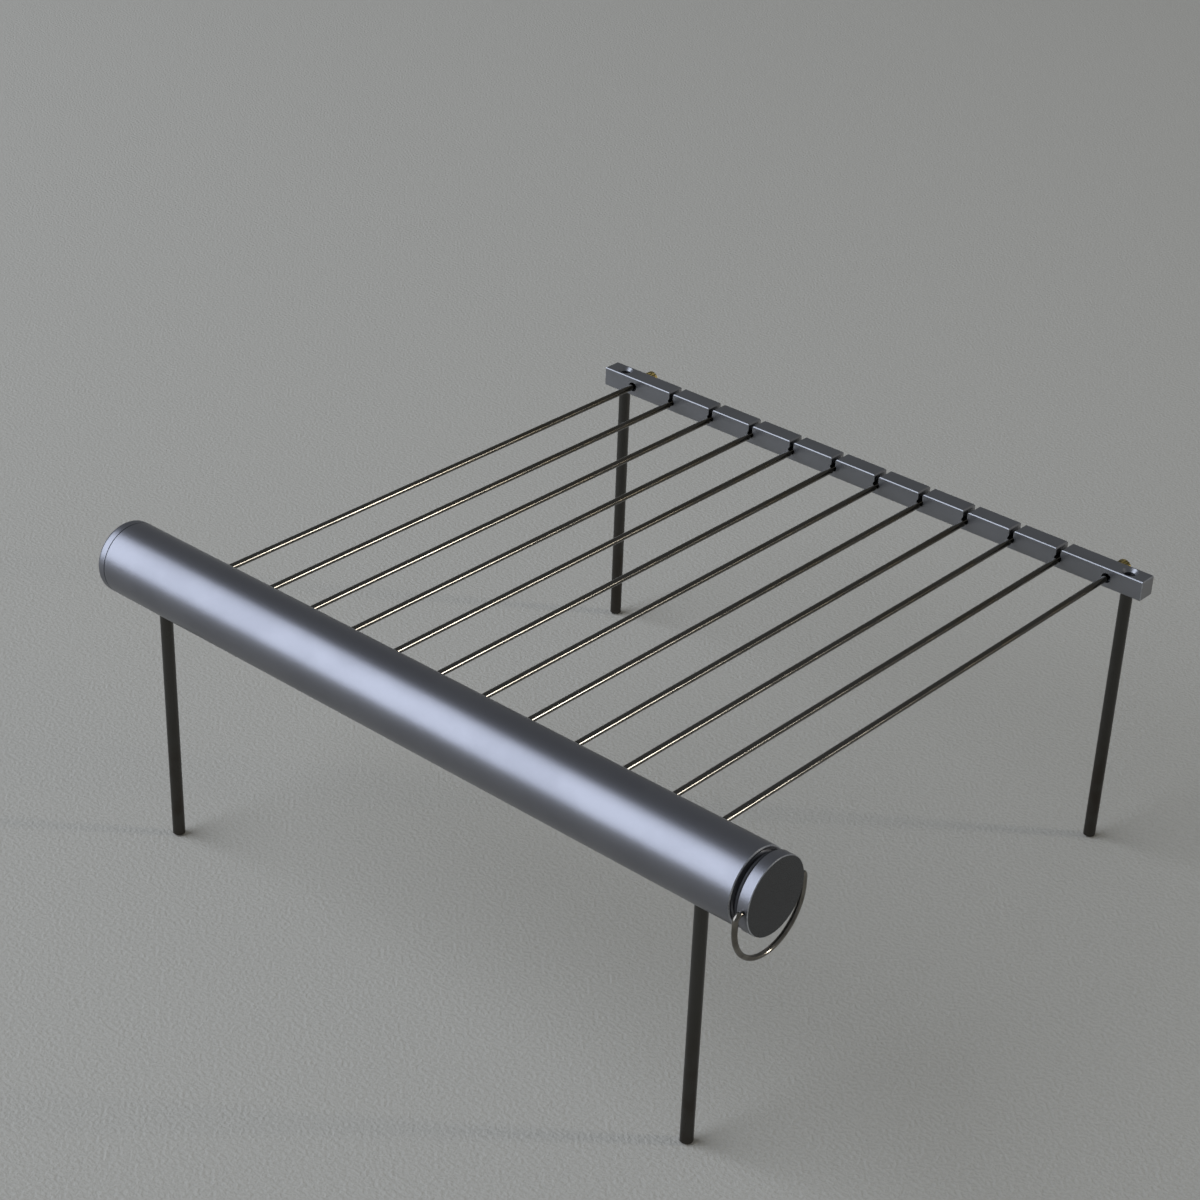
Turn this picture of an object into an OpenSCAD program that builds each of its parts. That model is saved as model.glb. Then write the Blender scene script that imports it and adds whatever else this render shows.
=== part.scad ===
// Grill rack that packs into its own front tube. Ten loose rods lie between the
// tube and a slotted cross bar, two fixed rods tie the tube to the bar, and four
// legs screw in from below. Millimetres, +Z up, tube in front (-Y), screw cap on
// the right (+X). Threads are drawn as rings; the bores round them are plain.

/* [Tube] */
// Outer diameter of the tube
tube_d = 28; // [26:0.5:36]
// Wall of the tube
tube_wall = 2; // [1.6:0.1:2.6]
// Length of the tube without its two caps
tube_len = 296; // [280:1:340]
// Height of the tube's axis above the ground
tube_axis_h = 115; // [90:1:180]
// Bevel round the outside of the tube's ends
tube_bevel = 0.4; // [0.2:0.1:0.6]

/* [Left end cap] */
// Thickness of the left end cap outside the tube
plug_t = 4; // [3:0.5:8]
// Length of the left end cap's spigot inside the tube
plug_spigot = 8; // [5:1:14]
// Radius of the left end cap's outer edge
plug_round = 1.8; // [0.5:0.1:2.5]

/* [Screw cap] */
// Thickness of the screw cap's rim
rim_t = 4.4; // [4:0.1:8]
// Bevel on the rim's two edges
rim_bevel = 0.3; // [0.2:0.1:0.5]
// Space between the tube's end and the rim, as the cap stands partly unscrewed
cap_gap = 2.85; // [2.7:0.05:3.5]
// Pitch of the cap's thread
cap_pitch = 1.5; // [1:0.25:2]
// Number of thread rings on the cap's neck
cap_turns = 5; // [4:1:8]
// Depth of the cap's thread
cap_thread = 0.7; // [0.5:0.1:0.9]
// Thickness of the seal ring's rubber
seal_t = 1.8; // [1.6:0.1:2]

/* [Bail] */
// Thickness of the bail's wire
wire_d = 2; // [1.6:0.1:2.4]
// Distance from the rim to the inside of the bail's arms
bail_clear = 2; // [1.5:0.1:4]
// Straight length of the bail's arms below the hinge
bail_arm = 5.2; // [4:0.1:10]
// Radius of the bend between the bail's arms and its ends
bail_bend = 2; // [1.6:0.1:2.4]
// Length of the bail's ends inside the rim
bail_in_rim = 3; // [2:0.5:5]

/* [Rods] */
// Diameter of the rods
rod_d = 2.5; // [2.4:0.1:3.2]
// Distance from rod to rod
rod_pitch = 21.4; // [18:0.1:24]
// Free length of the rods between the tube and the cross bar
rod_span = 232; // [180:1:260]
// Length of the rods' ends inside the tube's bore
rod_in_bore = 4; // [2:0.5:6]
// Diameter of the turned neck that lies in the bar's slot
neck_d = 1.8; // [1.4:0.1:1.8]
// Length of neck that shows in front of the bar
neck_front = 1.2; // [0.8:0.1:3]
// Space between the bar and the head behind it
head_gap = 0.4; // [0.4:0.1:1]
// Length of the head behind the bar
head_len = 2; // [1:0.5:4]
// Bevel on the rods' ends
rod_bevel = 0.3; // [0.2:0.1:0.5]

/* [Cross bar] */
// Width of the cross bar, front to back
bar_w = 8; // [7.5:0.5:12]
// Height of the cross bar
bar_h = 8; // [7.5:0.5:12]
// Bevel along the cross bar's edges
bar_bevel = 0.3; // [0.2:0.1:0.6]
// Distance from the outer rod to the back leg
leg_beyond_rod = 7.5; // [6.5:0.5:14]
// Distance from the back leg to the end of the bar
bar_beyond_leg = 8; // [5:0.5:14]
// Diameter of the round seats at the bottom of the slots
seat_d = 3.2; // [3:0.1:3.6]
// Width of the slots above the seats
slot_w = 2; // [2:0.05:2.4]
// Bevel at the slots' mouths
slot_bevel = 0.5; // [0.3:0.1:0.8]
// Diameter of the recess that takes each outer rod's shoulder
recess_d = 4; // [3.6:0.1:4.4]
// Depth of that recess
recess_deep = 3; // [2:0.5:4]
// Diameter of the countersink above each back leg
sink_d = 6.5; // [5.5:0.1:7]

/* [Legs] */
// Diameter of the legs
leg_d = 4.8; // [4.6:0.1:6.5]
// Distance of the front legs from the left cap's face and from the tube's right end
front_leg_inset = 21.1; // [18:0.1:40]
// Diameter of the legs' threaded studs
stud_d = 4; // [3.5:0.1:4.2]
// Pitch of the studs' thread
stud_pitch = 0.7; // [0.5:0.1:0.8]
// Depth of the studs' thread
stud_thread = 0.35; // [0.2:0.05:0.45]
// Number of thread rings on a front leg's stud
front_turns = 5; // [4:1:7]
// Number of thread rings on a back leg's stud
back_turns = 8; // [6:1:9]
// Bevel at the legs' feet
foot_bevel = 0.8; // [0.4:0.1:1.2]
// Depth of the flat cut on the tube for a front leg's shoulder
flat_deep = 0.3; // [0.25:0.05:0.4]
// Space round the leg's shoulder on that flat
flat_margin = 0.3; // [0.2:0.1:0.6]

/* [Thumb nuts] */
// Diameter of the brass nuts
nut_d = 6; // [5:0.5:9]
// Length of the brass nuts
nut_len = 6; // [5:0.5:9]
// Radius of the nuts' domed end
nut_dome = 4.6; // [4.6:0.1:8]
// Number of grooves round a nut
nut_grooves = 18; // [12:1:24]
// Width of a groove
nut_groove_w = 0.5; // [0.3:0.1:0.6]
// Diameter of the outer rods' threaded ends
tip_d = 2; // [1.6:0.1:2]
// Pitch of the threaded ends
tip_pitch = 0.5; // [0.4:0.05:0.6]
// Depth of their thread
tip_thread = 0.2; // [0.1:0.05:0.25]
// Number of thread rings inside a nut
tip_turns = 8; // [6:1:9]

/* [Fits] */
// Radial clearance of parts that turn, slide or screw in their holes
run_clear = 0.05; // [0.03:0.01:0.08]
// Radial clearance of a loose rod in the tube's wall
rod_clear = 0.08; // [0.06:0.01:0.1]
// Radial clearance of parts that are fixed in their holes
fixed_clear = 0.02; // [0.01:0.01:0.04]
// Space between a shoulder and its seat
seat_gap = 0.05; // [0.03:0.01:0.1]

/* [Hidden] */
$fn = 96;
eps = 0.01;
inner_rods = 10;
// Share of a thread's pitch that each of its flanks takes
flank = 0.4;
tube_r = tube_d / 2;
bore_r = tube_r - tube_wall;
tube_end = tube_len / 2;
outer_rod_x = (inner_rods + 1) / 2 * rod_pitch;
back_leg_x = outer_rod_x + leg_beyond_rod;
bar_len = 2 * (back_leg_x + bar_beyond_leg);
front_leg_x = [front_leg_inset - plug_t - tube_end, tube_end - front_leg_inset];
bar_front = tube_r + rod_span;
bar_back = bar_front + bar_w;
bar_bottom = tube_axis_h - bar_h / 2;

// The inner rods' necks lie on the bottom of the round seats.
inner_rod_z = tube_axis_h - (seat_d - neck_d) / 2 + seat_gap;
rod_start = bore_r - rod_in_bore;
head_start = bar_back + head_gap;
nut_hole_deep = tip_turns * tip_pitch + 2 * seat_gap;
nut_side = nut_len - nut_dome + sqrt(nut_dome ^ 2 - (nut_d / 2) ^ 2);

// The rim, the neck and the seal ring, measured from the tube's end.
rim_mid = cap_gap + rim_t / 2;
crest_r = bore_r - run_clear;
root_r = crest_r - cap_thread;
neck_relief = seal_t + 2 * seat_gap;
neck_len = neck_relief + cap_turns * cap_pitch;
relief_r = root_r - seat_gap;
seal_r = relief_r + run_clear + seal_t / 2;
seal_x = cap_gap - seat_gap - seal_t / 2;

// The bevel in the tube's mouth takes the seal ring when the cap is closed.
mouth_bevel = seal_r + seal_t / 2 + seat_gap - bore_r;

// The bail, measured from its hinge line.
bail_r = tube_r + bail_clear + wire_d / 2;
bail_pin = bail_r - bail_bend - (tube_r - bail_in_rim);

// The origin is on the ground in the middle of the whole rack.
mid_x = (cap_gap + rim_t - plug_t) / 2;
mid_y = (bar_back + seat_gap + nut_len - max(tube_r, bail_r + wire_d / 2)) / 2;

// Profile points of n thread rings that start at z, from the root to the crest.
function rings(z, n, pitch, root, crest) = [for (i = [0 : n - 1])
    each [[root, z + i * pitch], [crest, z + (i + flank) * pitch],
        [crest, z + (i + 1 - flank) * pitch]]];

// Moves the rack so that the middle of its footprint is the origin.
module place() {
    translate([-mid_x, -mid_y, 0]) children();
}

// Turns a profile of radius and length round the X axis, from x at height z.
module along_x(x, z) {
    translate([x, 0, z]) rotate([0, 90, 0]) rotate_extrude() children();
}

// Turns a profile of radius and length round a line that runs back from y.
module along_y(x, y, z) {
    translate([x, y, z]) rotate([-90, 0, 0]) rotate_extrude() children();
}

// The space of a round hole of diameter d that runs back from y.
module bore_y(x, y, z, d, deep) {
    translate([x, y, z]) rotate([-90, 0, 0]) cylinder(d = d, h = deep);
}

// A box with every edge bevelled: three bevelled outlines, crossed.
module bevelled_box(size, b) {
    module outline(w, h) {
        polygon([[b - w / 2, -h / 2], [w / 2 - b, -h / 2], [w / 2, b - h / 2], [w / 2, h / 2 - b],
            [w / 2 - b, h / 2], [b - w / 2, h / 2], [-w / 2, h / 2 - b], [-w / 2, b - h / 2]]);
    }
    intersection() {
        linear_extrude(size[2], center = true) outline(size[0], size[1]);
        rotate([90, 0, 0]) linear_extrude(size[1], center = true) outline(size[0], size[2]);
        rotate([90, 0, 90]) linear_extrude(size[0], center = true) outline(size[1], size[2]);
    }
}

// Tube: bored through, with a bevelled mouth and ring grooves for the screw cap,
// twelve rod holes in its back and two leg holes with flats in its underside.
module tube() {
    groove_start = tube_len - mouth_bevel - cap_turns * cap_pitch;
    color("lightsteelblue") place() difference() {
        along_x(-tube_end, tube_axis_h) polygon(concat(
            [[bore_r, 0], [tube_r - tube_bevel, 0], [tube_r, tube_bevel],
             [tube_r, tube_len - tube_bevel], [tube_r - tube_bevel, tube_len],
             [bore_r + mouth_bevel, tube_len], [bore_r, tube_len - mouth_bevel]],
            [for (i = [cap_turns - 1 : -1 : 0]) each [
                [bore_r, groove_start + (i + 0.5 + flank / 2) * cap_pitch],
                [bore_r + cap_thread / 2, groove_start + (i + 0.5) * cap_pitch],
                [bore_r, groove_start + (i + 0.5 - flank / 2) * cap_pitch]]]));
        for (s = [-1, 1])
            bore_y(s * outer_rod_x, 0, tube_axis_h, rod_d + 2 * fixed_clear, tube_d);
        for (i = [1 : inner_rods])
            bore_y(rod_x(i), 0, inner_rod_z, rod_d + 2 * rod_clear, tube_d);
        for (x = front_leg_x) translate([x, 0, tube_axis_h - tube_d]) {
            cylinder(d = stud_d + 2 * run_clear, h = tube_d);
            cylinder(d = leg_d + 2 * flat_margin, h = tube_r + flat_deep);
        }
    }
}

// Left end cap: a disc as wide as the tube, with a round edge and a fixed spigot.
module left_end_cap() {
    color("lightsteelblue") place() along_x(-tube_end - plug_t, tube_axis_h) union() {
        square([tube_r - plug_round, plug_t]);
        translate([0, plug_round]) square([tube_r, plug_t - plug_round]);
        translate([tube_r - plug_round, plug_round]) intersection() {
            circle(plug_round);
            translate([0, -plug_round]) square(plug_round);
        }
        square([bore_r - fixed_clear, plug_t + plug_spigot]);
    }
}

// Screw cap: rim, relief for the seal ring and threaded neck, with a blind hole
// on each side of the rim for the bail.
module screw_cap() {
    color("lightsteelblue") place() difference() {
        along_x(tube_end + cap_gap - neck_len, tube_axis_h) polygon(concat(
            [[0, 0]],
            rings(0, cap_turns, cap_pitch, root_r, crest_r),
            [[relief_r, neck_len - neck_relief], [relief_r, neck_len],
             [tube_r - rim_bevel, neck_len], [tube_r, neck_len + rim_bevel],
             [tube_r, neck_len + rim_t - rim_bevel], [tube_r - rim_bevel, neck_len + rim_t],
             [0, neck_len + rim_t]]));
        for (s = [-1, 1]) translate([tube_end + rim_mid, 0, tube_axis_h]) rotate([-90 * s, 0, 0])
            translate([0, 0, tube_r - bail_in_rim - seat_gap])
                cylinder(d = wire_d + 2 * run_clear, h = tube_r);
    }
}

// Seal ring: round rubber ring behind the rim.
module cap_seal() {
    color("dimgray") place() along_x(tube_end + seal_x, tube_axis_h)
        translate([seal_r, 0]) circle(d = seal_t);
}

// Bail: round wire, with two ends in the rim, two arms and half a ring below.
module bail() {
    color("silver") place() translate([tube_end + rim_mid, 0, tube_axis_h]) {
        for (s = [-1, 1]) {
            rotate([-90 * s, 0, 0]) translate([0, 0, tube_r - bail_in_rim])
                cylinder(d = wire_d, h = bail_pin);
            translate([0, s * (bail_r - bail_bend), -bail_bend]) rotate([90, 0, 90 * s])
                wire_bend(bail_bend, 90);
            translate([0, s * bail_r, -bail_arm]) cylinder(d = wire_d, h = bail_arm - bail_bend);
        }
        translate([0, 0, -bail_arm]) rotate([90, 0, 90]) rotate([0, 0, 180]) wire_bend(bail_r, 180);
    }
}

// Bend of the bail's wire round the origin, from +X towards +Y.
module wire_bend(radius, turn) {
    rotate_extrude(angle = turn) translate([radius, 0]) circle(d = wire_d);
}

// Cross bar: square bar with ten open slots over round seats, two stepped holes
// for the outer rods and two countersunk holes for the back legs.
module crossbar() {
    color("lightsteelblue") place() difference() {
        translate([0, bar_front + bar_w / 2, tube_axis_h])
            bevelled_box([bar_len, bar_w, bar_h], bar_bevel);
        for (i = [1 : inner_rods]) {
            bore_y(rod_x(i), bar_front - eps, tube_axis_h, seat_d, bar_w + 2 * eps);
            translate([rod_x(i), bar_back + eps, tube_axis_h]) rotate([90, 0, 0])
                linear_extrude(bar_w + 2 * eps) polygon([
                    [-slot_w / 2, 0], [slot_w / 2, 0], [slot_w / 2, bar_h / 2 - slot_bevel],
                    [slot_w / 2 + slot_bevel + eps, bar_h / 2 + eps],
                    [-slot_w / 2 - slot_bevel - eps, bar_h / 2 + eps],
                    [-slot_w / 2, bar_h / 2 - slot_bevel]]);
        }
        for (s = [-1, 1]) {
            bore_y(s * outer_rod_x, bar_front - eps, tube_axis_h, recess_d, recess_deep + eps);
            bore_y(s * outer_rod_x, bar_front, tube_axis_h, tip_d + 2 * fixed_clear, bar_w + eps);
            translate([s * back_leg_x, bar_front + bar_w / 2, bar_bottom - eps]) {
                cylinder(d = stud_d + 2 * run_clear, h = bar_h + 2 * eps);
                translate([0, 0, bar_h + eps - sink_d / 2])
                    cylinder(r1 = 0, r2 = sink_d / 2 + eps, h = sink_d / 2 + eps);
            }
        }
    }
}

// Outer rod: fixed in the tube's wall, with a shoulder in the bar's recess and a
// threaded end that carries the nut.
module outer_rod(side) {
    shoulder = bar_front + recess_deep - seat_gap - rod_start;
    tip_start = shoulder + bar_w - recess_deep + seat_gap;
    color("gray") place() along_y(side * outer_rod_x, rod_start, tube_axis_h) polygon(concat(
        [[0, 0], [rod_d / 2 - rod_bevel, 0], [rod_d / 2, rod_bevel], [rod_d / 2, shoulder],
         [tip_d / 2, shoulder], [tip_d / 2, tip_start]],
        rings(tip_start, tip_turns, tip_pitch, tip_d / 2 - tip_thread, tip_d / 2),
        [[tip_d / 2 - tip_thread, tip_start + tip_turns * tip_pitch],
         [0, tip_start + tip_turns * tip_pitch]]));
}

// Loose rod: plain end in the tube's wall, turned neck in the bar, head behind it.
module inner_rod(i) {
    neck_start = bar_front - neck_front - rod_start;
    head = head_start - rod_start;
    color("gray") place() along_y(rod_x(i), rod_start, inner_rod_z) polygon([
        [0, 0], [rod_d / 2 - rod_bevel, 0], [rod_d / 2, rod_bevel],
        [rod_d / 2, neck_start - rod_bevel], [neck_d / 2, neck_start],
        [neck_d / 2, head], [rod_d / 2, head],
        [rod_d / 2, head + head_len - rod_bevel], [rod_d / 2 - rod_bevel, head + head_len],
        [0, head + head_len]]);
}

// Place of a loose rod along the tube, counted from the left.
function rod_x(i) = i * rod_pitch - outer_rod_x;

// Thumb nut: domed brass nut with a blind hole and a grooved grip.
module thumb_nut(side) {
    color("darkgoldenrod") place() translate([side * outer_rod_x, bar_back + seat_gap, tube_axis_h])
        rotate([-90, 0, 0]) difference() {
            union() {
                cylinder(d = nut_d, h = nut_side);
                intersection() {
                    cylinder(d = nut_d, h = nut_len);
                    translate([0, 0, nut_len - nut_dome]) sphere(nut_dome);
                }
            }
            translate([0, 0, -eps]) cylinder(d = tip_d + 2 * run_clear, h = nut_hole_deep + eps);
            for (k = [0 : nut_grooves - 1]) rotate([0, 0, k * 360 / nut_grooves])
                translate([nut_d / 2, 0, -eps]) cylinder(d = nut_groove_w, h = nut_len + 2 * eps);
        }
}

// Leg: round bar with a bevelled foot, a shoulder at the given height and a
// threaded stud on top.
module leg(x, y, shoulder, turns) {
    color("dimgray") place() translate([x, y, 0]) rotate_extrude() polygon(concat(
        [[0, 0], [leg_d / 2 - foot_bevel, 0], [leg_d / 2, foot_bevel], [leg_d / 2, shoulder]],
        rings(shoulder, turns, stud_pitch, stud_d / 2 - stud_thread, stud_d / 2),
        [[stud_d / 2 - stud_thread, shoulder + turns * stud_pitch],
         [0, shoulder + turns * stud_pitch]]));
}

// Front leg, seated on the flat in the tube's underside.
module front_leg(x) {
    leg(x, 0, tube_axis_h - tube_r + flat_deep - seat_gap, front_turns);
}

// Back leg, seated under the cross bar.
module back_leg(x) {
    leg(x, bar_front + bar_w / 2, bar_bottom - seat_gap, back_turns);
}

tube();
left_end_cap();
screw_cap();
cap_seal();
bail();
crossbar();
outer_rod(-1);  // outer_rod_left
outer_rod(1);  // outer_rod_right
thumb_nut(-1);  // thumb_nut_left
thumb_nut(1);  // thumb_nut_right
for (i = [1 : inner_rods])
    inner_rod(i);
front_leg(front_leg_x[0]);  // leg_front_left
front_leg(front_leg_x[1]);  // leg_front_right
back_leg(-back_leg_x);  // leg_back_left
back_leg(back_leg_x);  // leg_back_right
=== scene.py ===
"""Looks, light and camera of the grill rack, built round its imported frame.

The turned, drawn and milled pieces keep their exact frame shapes and get their real finishes here. The wire
bail is made again as a smooth surface. The frame is in metres, with the tube along X at the front and the
cross bar behind it (+Y). Sizes on the rack are in millimetres here, those of floor and lamps in metres.
"""

from math import cos, radians, sin

import bpy
import numpy as np
from mathutils import Matrix, Vector


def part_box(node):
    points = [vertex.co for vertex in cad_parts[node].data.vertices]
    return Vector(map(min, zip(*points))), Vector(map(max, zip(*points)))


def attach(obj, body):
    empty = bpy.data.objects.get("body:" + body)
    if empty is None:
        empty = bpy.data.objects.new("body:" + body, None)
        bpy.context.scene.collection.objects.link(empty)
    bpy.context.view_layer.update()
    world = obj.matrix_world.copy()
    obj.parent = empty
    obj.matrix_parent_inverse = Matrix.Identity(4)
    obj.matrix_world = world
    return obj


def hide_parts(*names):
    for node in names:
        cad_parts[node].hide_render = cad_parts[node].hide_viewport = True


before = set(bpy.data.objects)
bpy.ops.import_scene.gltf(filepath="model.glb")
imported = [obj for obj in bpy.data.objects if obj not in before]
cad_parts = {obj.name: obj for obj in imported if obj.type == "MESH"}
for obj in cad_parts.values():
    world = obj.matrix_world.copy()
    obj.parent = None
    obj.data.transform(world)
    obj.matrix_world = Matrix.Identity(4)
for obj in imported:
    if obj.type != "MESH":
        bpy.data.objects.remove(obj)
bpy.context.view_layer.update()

MM = 0.001

# Places read from the frame, in millimetres
RODS = [f"rod_{i}" for i in range(1, 11)]
OUTER_RODS = ["outer_rod_left", "outer_rod_right"]
LEGS = ["leg_front_left", "leg_front_right", "leg_back_left", "leg_back_right"]
NUTS = ["thumb_nut_left", "thumb_nut_right"]


def corners(node):
    """The node's lowest and highest corner as two arrays in millimetres."""
    low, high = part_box(node)
    return np.array(low) / MM, np.array(high) / MM


tube_low, tube_high = corners("tube")
bar_low, bar_high = corners("crossbar")
tube_axis_h = (tube_low[2] + tube_high[2]) / 2


# Numbers, colours and nodes
def linear(hex_colour):
    """An sRGB hex colour as the linear colour with alpha that the shaders take."""
    parts = [int(hex_colour[i:i + 2], 16) / 255 for i in (1, 3, 5)]
    return [p / 12.92 if p <= 0.04045 else ((p + 0.055) / 1.055) ** 2.4 for p in parts] + [1.0]


def add(tree, kind, settings=None, inputs=None):
    """Adds a node with its settings. An input is a plain value or the socket that it is linked from."""
    made = tree.nodes.new(kind)
    for name, value in (settings or {}).items():
        setattr(made, name, value)
    for name, value in (inputs or {}).items():
        if isinstance(value, bpy.types.NodeSocket):
            tree.links.new(value, made.inputs[name])
        else:
            made.inputs[name].default_value = value
    return made


# The Mix node's colour sockets
MIX_A, MIX_B, MIX_OUT = 6, 7, 2


def new_material(name):
    """A material with its node tree, its shader and the Object coordinates, which are in metres."""
    made = bpy.data.materials.new(name)
    made.use_nodes = True
    tree = made.node_tree
    tree.nodes.clear()
    shader = add(tree, "ShaderNodeBsdfPrincipled")
    add(tree, "ShaderNodeOutputMaterial", inputs={"Surface": shader.outputs["BSDF"]})
    place = add(tree, "ShaderNodeTexCoord").outputs["Object"]
    return made, tree, shader, place


def pattern(tree, place, cell, detail=3.0):
    """Noise whose cells measure cell millimetres along X, Y and Z."""
    scaled = add(tree, "ShaderNodeMapping", inputs={"Vector": place, "Scale": [1 / (c * MM) for c in cell]})
    noise = add(tree, "ShaderNodeTexNoise",
                inputs={"Vector": scaled.outputs["Vector"], "Scale": 1.0, "Detail": detail})
    return noise.outputs["Fac"]


def spread(tree, value, low, high, to_low=0.0, to_high=1.0):
    """Maps value from low..high to to_low..to_high, and holds it there."""
    ranged = add(tree, "ShaderNodeMapRange", {"interpolation_type": "SMOOTHSTEP"},
                 {"Value": value, "From Min": low, "From Max": high, "To Min": to_low, "To Max": to_high})
    return ranged.outputs["Result"]


def blend_colour(tree, share, first, second):
    """The first colour, with share of the second over it."""
    mixed = add(tree, "ShaderNodeMix", {"data_type": "RGBA"}, {0: share, MIX_A: first, MIX_B: second})
    return mixed.outputs[MIX_OUT]


def sum_of(tree, operation, first, second):
    """The two values put together by a Math node's operation."""
    return add(tree, "ShaderNodeMath", {"operation": operation}, {0: first, 1: second}).outputs[0]


def part_of(tree, place, axis):
    """One coordinate of place, in millimetres."""
    split = add(tree, "ShaderNodeSeparateXYZ", inputs={0: place})
    return sum_of(tree, "MULTIPLY", split.outputs[axis], 1 / MM)


def raise_surface(tree, shader, height, depth, strength=1.0):
    """Bumps the shader's surface by height times depth millimetres."""
    bump = add(tree, "ShaderNodeBump",
               inputs={"Height": height, "Distance": depth * MM, "Strength": strength})
    tree.links.new(bump.outputs["Normal"], shader.inputs["Normal"])


def set_metal(tree, shader, colour, roughness):
    """Links a metal's colour and roughness."""
    shader.inputs["Metallic"].default_value = 1.0
    tree.links.new(colour, shader.inputs["Base Color"])
    tree.links.new(roughness, shader.inputs["Roughness"])


# Finishes
def blasted_aluminium(name, base, dull, edges, turned_shaded_face_from=None):
    """Aluminium 6061, bead blasted and clear anodised: a satin silver grey with a fine sparkle from the
    blasting, faint cloudy patches where hands have dulled it, and bare bright metal where its edges wear,
    which also stands as a painted highlight along the bevels. edges lists (axis, low, high, width): both
    bevels of that width between low and high get that bright paint. Past the plane given last along X, the
    end face is smoother from the lathe and painted darker: painted shade."""
    made, tree, shader, place = new_material(name)
    # Blasting leaves dimples about 0.1 mm across, drawn 0.35 mm so that they show.
    dimples = pattern(tree, place, (0.35, 0.35, 0.35), 4.0)
    clouds = pattern(tree, place, (26, 19, 19))
    colour = blend_colour(tree, spread(tree, clouds, 0.38, 0.66), linear(base), linear(dull))
    rough = sum_of(tree, "ADD", spread(tree, clouds, 0.35, 0.7, 0.355, 0.37),
                   spread(tree, dimples, 0.3, 0.7, -0.03, 0.04))
    chips = spread(tree, pattern(tree, place, (1.6, 1.6, 1.6)), 0.3, 0.55, 0.35, 0.85)
    for axis, low, high, width in edges:
        half = (high - low) / 2
        from_low = sum_of(tree, "SUBTRACT", part_of(tree, place, axis), low)
        from_middle = sum_of(tree, "ABSOLUTE", sum_of(tree, "SUBTRACT", from_low, half), 0)
        inner = spread(tree, from_middle, half - width - 0.05, half - width + 0.05)
        outer = spread(tree, from_middle, half - 0.07, half - 0.02, 1.0, 0.0)
        # Bevels painted #C4C7CC where the chips noise lets them: bare metal where edges wear, and a painted
        # highlight along them.
        worn_and_highlit = sum_of(tree, "MULTIPLY", sum_of(tree, "MULTIPLY", inner, outer), chips)
        colour = blend_colour(tree, worn_and_highlit, colour, linear("#C4C7CC"))
        rough = sum_of(tree, "SUBTRACT", rough, sum_of(tree, "MULTIPLY", worn_and_highlit, 0.1))
    if turned_shaded_face_from is not None:
        # Past the given plane along X the colour turns to #515254: painted shade on the end face. The lower
        # roughness is the smoother turned finish.
        turned = spread(tree, part_of(tree, place, 0), turned_shaded_face_from - 0.02, turned_shaded_face_from)
        colour = blend_colour(tree, turned, colour, linear("#515254"))
        rough = sum_of(tree, "SUBTRACT", rough, sum_of(tree, "MULTIPLY", turned, 0.09))
    set_metal(tree, shader, colour, rough)
    raise_surface(tree, shader, dimples, 0.03, 0.5)
    return made


def drawn_steel(name, base, tint, lines, roughness, tint_axis, tint_from, tint_to):
    """Stainless steel 304 wire or bar, drawn through a die and polished: fine lines run along its length, and
    a faint straw-brown heat tint lies between tint_from and tint_to millimetres along tint_axis."""
    made, tree, shader, place = new_material(name)
    # The die's lines are about 0.05 mm apart, drawn 0.25 mm wide so that they show.
    scratches = pattern(tree, place, lines, 2.0)
    patches = pattern(tree, place, (7, 7, 7))
    at = part_of(tree, place, tint_axis)
    along = spread(tree, at, tint_from, tint_to)
    tinted = sum_of(tree, "MULTIPLY", along, spread(tree, patches, 0.35, 0.65, 0.35, 1.0))
    colour = blend_colour(tree, tinted, linear(base), linear(tint))
    rough = sum_of(tree, "ADD", spread(tree, scratches, 0.3, 0.7, -0.03, 0.04),
                   spread(tree, patches, 0.35, 0.7, roughness, roughness + 0.05))
    set_metal(tree, shader, colour, rough)
    raise_surface(tree, shader, scratches, 0.006, 0.2)
    return made


def polished_wire(name):
    """Stainless spring wire, bent cold and polished: almost a mirror, with a few hair scratches and a
    slightly duller skin where it rubs in the rim."""
    made, tree, shader, place = new_material(name)
    hairs = pattern(tree, place, (0.3, 1.5, 0.3), 2.0)
    haze = pattern(tree, place, (4, 4, 4))
    colour = blend_colour(tree, spread(tree, haze, 0.4, 0.7), linear("#7F7B74"), linear("#6A665F"))
    rough = sum_of(tree, "ADD", spread(tree, hairs, 0.45, 0.75, 0.0, 0.08),
                   spread(tree, haze, 0.35, 0.7, 0.1, 0.17))
    set_metal(tree, shader, colour, rough)
    raise_surface(tree, shader, hairs, 0.006, 0.5)
    return made


def turned_brass(name):
    """Free-cutting brass, turned and knurled, left bare: olive gold, dulled brown in blotches, with the fine
    rings of the turning tool round its axis."""
    made, tree, shader, place = new_material(name)
    # The tool's feed is about 0.1 mm, drawn 0.3 mm so that it shows.
    rings = pattern(tree, place, (60, 0.3, 60), 1.0)
    tarnish = pattern(tree, place, (1.8, 1.8, 1.8))
    colour = blend_colour(tree, spread(tree, tarnish, 0.4, 0.68), linear("#9A8B58"), linear("#665B38"))
    rough = sum_of(tree, "ADD", spread(tree, rings, 0.35, 0.65, -0.04, 0.05),
                   spread(tree, tarnish, 0.35, 0.7, 0.3, 0.42))
    set_metal(tree, shader, colour, rough)
    raise_surface(tree, shader, rings, 0.02, 0.5)
    return made


def moulded_rubber(name):
    """Black nitrile rubber, moulded: dull near-black with a fine matt skin and grey dust in its pores."""
    made, tree, shader, place = new_material(name)
    skin = pattern(tree, place, (0.3, 0.3, 0.3))
    dust = pattern(tree, place, (2.5, 2.5, 2.5))
    colour = blend_colour(tree, spread(tree, dust, 0.5, 0.75, 0.0, 0.5), linear("#17171A"), linear("#34343A"))
    tree.links.new(colour, shader.inputs["Base Color"])
    tree.links.new(spread(tree, skin, 0.3, 0.7, 0.6, 0.78), shader.inputs["Roughness"])
    raise_surface(tree, shader, skin, 0.03, 0.5)
    return made


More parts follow.
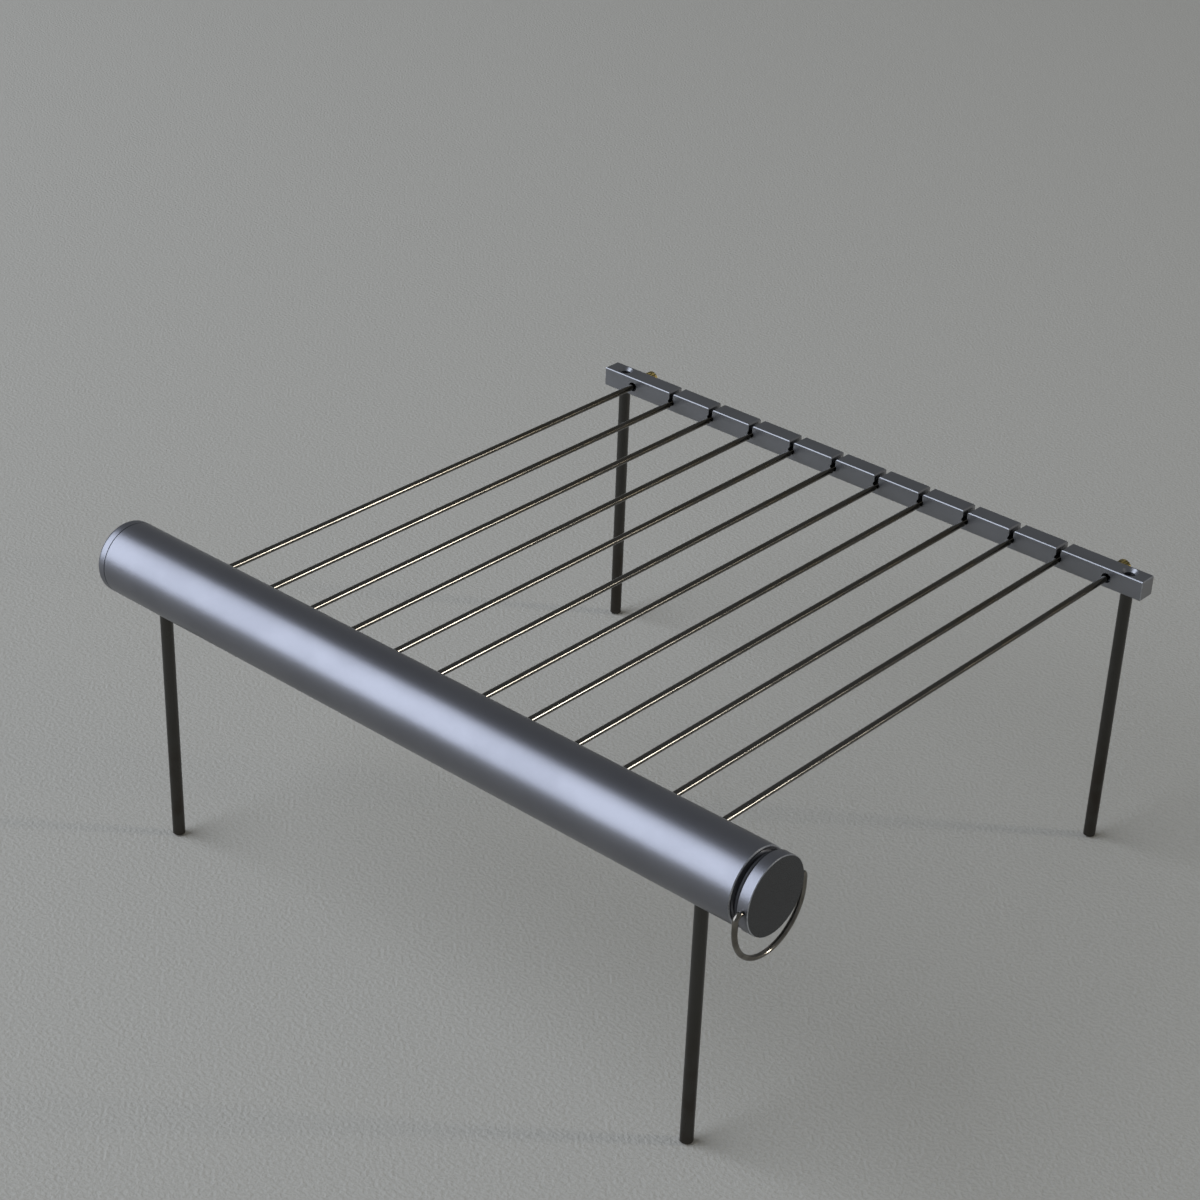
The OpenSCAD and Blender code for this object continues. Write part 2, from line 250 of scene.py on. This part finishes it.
def floor_sheet(name):
    """Pale grey coated paper with a faint leather grain: a plain ground that only takes the rack's shadow."""
    made, tree, shader, place = new_material(name)
    grain = pattern(tree, place, (1.5, 1.5, 1.5), 3.0)
    colour = blend_colour(tree, spread(tree, grain, 0.3, 0.7), linear("#B7B4AB"), linear("#BDBAB1"))
    tree.links.new(colour, shader.inputs["Base Color"])
    shader.inputs["Roughness"].default_value = 0.75
    shader.inputs["Specular IOR Level"].default_value = 0.25
    raise_surface(tree, shader, grain, 0.6, 0.8)
    return made


cap_low, cap_high = corners("screw_cap")
tube_bevel, small_bevel = 0.4, 0.3
# Bevels in each edges list get bright paint: bare metal where they wear, and a painted highlight.
MATERIALS = {
    "tube": blasted_aluminium("blasted_aluminium_tube", "#828389", "#7D7E84",
                              [(0, tube_low[0], tube_high[0], tube_bevel)]),
    "left_end_cap": blasted_aluminium("blasted_aluminium_plug", "#828389", "#7D7E84", []),
    # The screw cap's end face, past cap_high[0] - 0.01 mm along X, is painted darker: painted shade.
    "screw_cap": blasted_aluminium("blasted_aluminium_cap", "#828389", "#7D7E84",
                                   [(0, cap_low[0], cap_high[0], small_bevel)], cap_high[0] - 0.01),
    "crossbar": blasted_aluminium("blasted_aluminium_bar", "#8B8C90", "#858689",
                                  [(0, bar_low[0], bar_high[0], small_bevel)]),
    "cap_seal": moulded_rubber("moulded_rubber_seal"),
    "bail": polished_wire("polished_wire_bail"),
}
rod_steel = drawn_steel("drawn_steel_rods", "#605E5A", "#565147", (0.25, 40, 0.25), 0.12, 1,
                        bar_low[1] - 190, bar_low[1] - 40)
leg_steel = drawn_steel("drawn_steel_legs", "#4E4D4A", "#45413C", (0.25, 0.25, 14), 0.3, 2, 70, 20)
nut_brass = turned_brass("turned_brass_nuts")
MATERIALS.update({node: rod_steel for node in RODS + OUTER_RODS})
MATERIALS.update({node: leg_steel for node in LEGS})
MATERIALS.update({node: nut_brass for node in NUTS})
for node, material in MATERIALS.items():
    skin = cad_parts[node]
    for held in skin.material_slots:
        held.material = material


# Surfaces
def make_piece(name, points, body, node, material):
    """Turns a grid of points, in millimetres, rows along the piece and columns round it, into a mesh that
    stands for node. Each quad joins two rows and two columns, the columns close on themselves, and a fan to a
    point in the middle closes each end."""
    rows, cols = points.shape[:2]
    index = np.arange(rows * cols).reshape(rows, cols)
    here, right = index, np.roll(index, -1, axis=1)
    quads = np.stack([here[:-1], right[:-1], right[1:], here[1:]], axis=-1).reshape(-1, 4)
    first, last = points[0].mean(0), points[-1].mean(0)
    verts = np.vstack([points.reshape(-1, 3), first, last]) * MM
    start, end = rows * cols, rows * cols + 1
    fans = [(start, b, a) for a, b in zip(index[0], np.roll(index[0], -1))]
    fans += [(end, a, b) for a, b in zip(index[-1], np.roll(index[-1], -1))]
    mesh = bpy.data.meshes.new(name)
    mesh.from_pydata(verts.tolist(), [], quads.tolist() + fans)
    mesh.update()
    mesh.shade_smooth()
    piece = bpy.data.objects.new(name, mesh)
    bpy.context.scene.collection.objects.link(piece)
    mesh.materials.append(material)
    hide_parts(node)
    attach(piece, body)
    return piece


def bail_wire():
    """A round wire carried along a flat path: in along Y from inside the rim, a quarter turn down, a straight
    arm, a half circle below, and back up the other side. Each section is the path's point plus the wire's
    radius times cos t along X and sin t along the path's normal, drawn in to nothing at the two ends."""
    low, high = corners("bail")
    x = (low[0] + high[0]) / 2
    wire_r = (high[0] - low[0]) / 2
    y_mid = (low[1] + high[1]) / 2
    hinge_z = high[2] - wire_r
    half = (high[1] - low[1]) / 2 - wire_r
    loop_z = low[2] + wire_r + half
    bend, in_rim, edge = 2.0, 3.0, 0.2
    rim_r = (cap_high[2] - cap_low[2]) / 2
    s = np.linspace(0, 1, 60)
    inward = np.stack([rim_r - in_rim + (half - bend - rim_r + in_rim) * s, 0 * s + hinge_z], 1)
    turn = np.pi / 2 * s[1:]
    corner = np.stack([half - bend + bend * np.sin(turn), hinge_z - bend + bend * np.cos(turn)], 1)
    arm = np.stack([0 * s[1:] + half, hinge_z - bend + (loop_z - hinge_z + bend) * s[1:]], 1)
    swing = np.pi / 2 * np.linspace(0, 1, 160)[1:]
    loop = np.stack([half * np.cos(swing), loop_z - half * np.sin(swing)], 1)
    side = np.vstack([inward, corner, arm, loop])
    path = np.vstack([side, side[-2::-1] * [-1, 1]])
    along = np.gradient(path, axis=0)
    along /= np.linalg.norm(along, axis=1)[:, None]
    normal = np.stack([-along[:, 1], along[:, 0]], 1)
    length = np.concatenate([[0], np.cumsum(np.linalg.norm(np.diff(path, axis=0), axis=1))])
    from_end = np.minimum(length, length[-1] - length)
    radius = wire_r - edge + np.minimum(from_end, edge)
    t = np.linspace(0, 2 * np.pi, 32, endpoint=False)
    points = np.empty((len(path), len(t), 3))
    points[..., 0] = x + radius[:, None] * np.cos(t)
    across = radius[:, None] * np.sin(t)
    points[..., 1] = y_mid + path[:, :1] + across * normal[:, :1]
    points[..., 2] = path[:, 1:] + across * normal[:, 1:]
    return make_piece("bail_wire", points, "hanger", "bail", MATERIALS["bail"])


bail_wire()


# Floor, light and camera
def lay_floor():
    """A flat disc under the rack, wide enough to fill every view."""
    mesh = bpy.data.meshes.new("floor")
    turn = np.linspace(0, 2 * np.pi, 96, endpoint=False)
    floor_r = 2.6
    rim = np.stack([floor_r * np.cos(turn), floor_r * np.sin(turn), 0 * turn], 1)
    mesh.from_pydata(rim.tolist(), [], [tuple(range(len(turn)))])
    floor = bpy.data.objects.new("floor", mesh)
    bpy.context.scene.collection.objects.link(floor)
    mesh.materials.append(floor_sheet("floor_sheet"))


def hang_lamp(name, towards, distance, width, height, watts, colour):
    """A soft rectangular lamp that lies towards the given direction and faces the rack."""
    lamp = bpy.data.lights.new(name, "AREA")
    lamp.shape = "RECTANGLE"
    lamp.size = width
    lamp.size_y = height
    lamp.energy = watts
    lamp.color = linear(colour)[:3]
    holder = bpy.data.objects.new(name, lamp)
    bpy.context.scene.collection.objects.link(holder)
    out = Vector(towards).normalized()
    aim = Vector((0, 0, tube_axis_h * MM))
    holder.location = aim + out * distance
    holder.rotation_mode = "QUATERNION"
    holder.rotation_quaternion = (-out).to_track_quat("-Z", "Y")


def set_camera():
    """The photograph's camera: where it stands, how it is turned, and its lens on a 36 mm wide frame."""
    place = Vector((533.62, -651.74, 583.86)) * MM
    azimuth, down, roll = radians(40.513), radians(30.997), radians(-2.258)
    ahead = Vector((-sin(azimuth) * cos(down), cos(azimuth) * cos(down), -sin(down)))
    level = ahead.cross(Vector((0, 0, 1))).normalized()
    upright = level.cross(ahead)
    right = level * cos(roll) - upright * sin(roll)
    up = upright * cos(roll) + level * sin(roll)
    lens = bpy.data.cameras.new("camera")
    lens.sensor_width = 36
    lens.lens = 78.53
    lens.shift_x = -0.0017
    lens.shift_y = 0.0584
    camera = bpy.data.objects.new("camera", lens)
    bpy.context.scene.collection.objects.link(camera)
    turned = Matrix((right, up, -ahead)).transposed().to_4x4()
    turned.translation = place
    camera.matrix_world = turned
    bpy.context.scene.camera = camera


def set_world():
    """A dim even surround. Mirrors and the camera see the same grey, so metal keeps its dark upper sides."""
    world = bpy.data.worlds.new("surround")
    world.use_nodes = True
    tree = world.node_tree
    tree.nodes.clear()
    glow = add(tree, "ShaderNodeBackground", inputs={"Color": linear("#7A7C7E"), "Strength": 1.0})
    add(tree, "ShaderNodeOutputWorld", inputs={"Surface": glow.outputs["Background"]})
    bpy.context.scene.world = world


lay_floor()
hang_lamp("window", towards=(-0.60, -0.62, 0.50), distance=4.0, width=4.5, height=4.5, watts=200,
          colour="#E8F0FF")
hang_lamp("low_lamp", towards=(0.78, 0.61, 0.15), distance=5.0, width=0.45, height=1.6, watts=75,
          colour="#FFF8EC")
set_camera()
set_world()
bpy.context.scene.view_settings.view_transform = "Standard"
